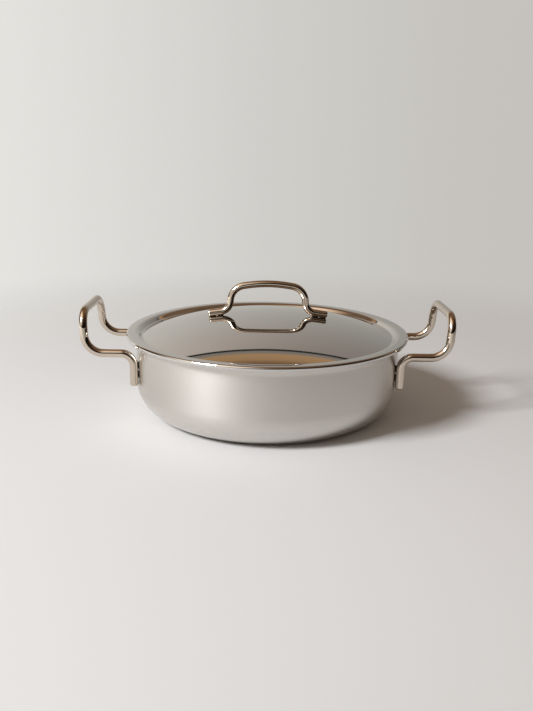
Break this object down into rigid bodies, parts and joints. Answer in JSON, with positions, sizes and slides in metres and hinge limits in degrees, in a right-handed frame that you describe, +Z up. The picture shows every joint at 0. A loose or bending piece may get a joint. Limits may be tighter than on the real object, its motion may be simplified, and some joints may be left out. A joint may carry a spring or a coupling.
{
  "type": "braiser",
  "caption": "Wide low stainless steel pan with upright rod loop handles on its sides and a domed lid that carries its own rod handle.",
  "frame": {"origin": "on the pan's axis, at the face that it stands on", "axes": "+Z up along the pan's axis, +X towards the right-hand side handle, -Y towards the viewer of the picture"},
  "size_m": [0.3824, 0.2964, 0.139],
  "materials": {
    "satin_outer_steel": "stainless steel, turned on a lathe with a fine belt: satin, with rings round the axis",
    "aluminium_core": "bonded aluminium layer, bare only at the cut rim",
    "satin_inner_steel": "stainless steel, satin, with rings round the axis",
    "mirror_lid_steel": "stainless steel sheet, spun and mirror polished",
    "polished_rod_steel": "stainless steel rod, bent and polished",
    "weld_steel": "resistance weld in stainless steel, dull"
  },
  "bodies": {
    "pot": {"pot_outer_ply": "satin_outer_steel", "pot_core_ply": "aluminium_core", "pot_inner_ply": "satin_inner_steel", "left_handle": "polished_rod_steel", "right_handle": "polished_rod_steel", "left_handle_front_welds": "weld_steel", "left_handle_rear_welds": "weld_steel", "right_handle_front_welds": "weld_steel", "right_handle_rear_welds": "weld_steel"},
    "lid": {"lid_shell": "mirror_lid_steel", "lid_handle": "polished_rod_steel", "lid_handle_left_welds": "weld_steel", "lid_handle_right_welds": "weld_steel"}
  },
  "joints": [
    {"name": "lid_lift", "type": "slide", "parent": "pot", "child": "lid", "axis": [0, 0, 1], "range_m": [0, 0.12]}
  ]
}
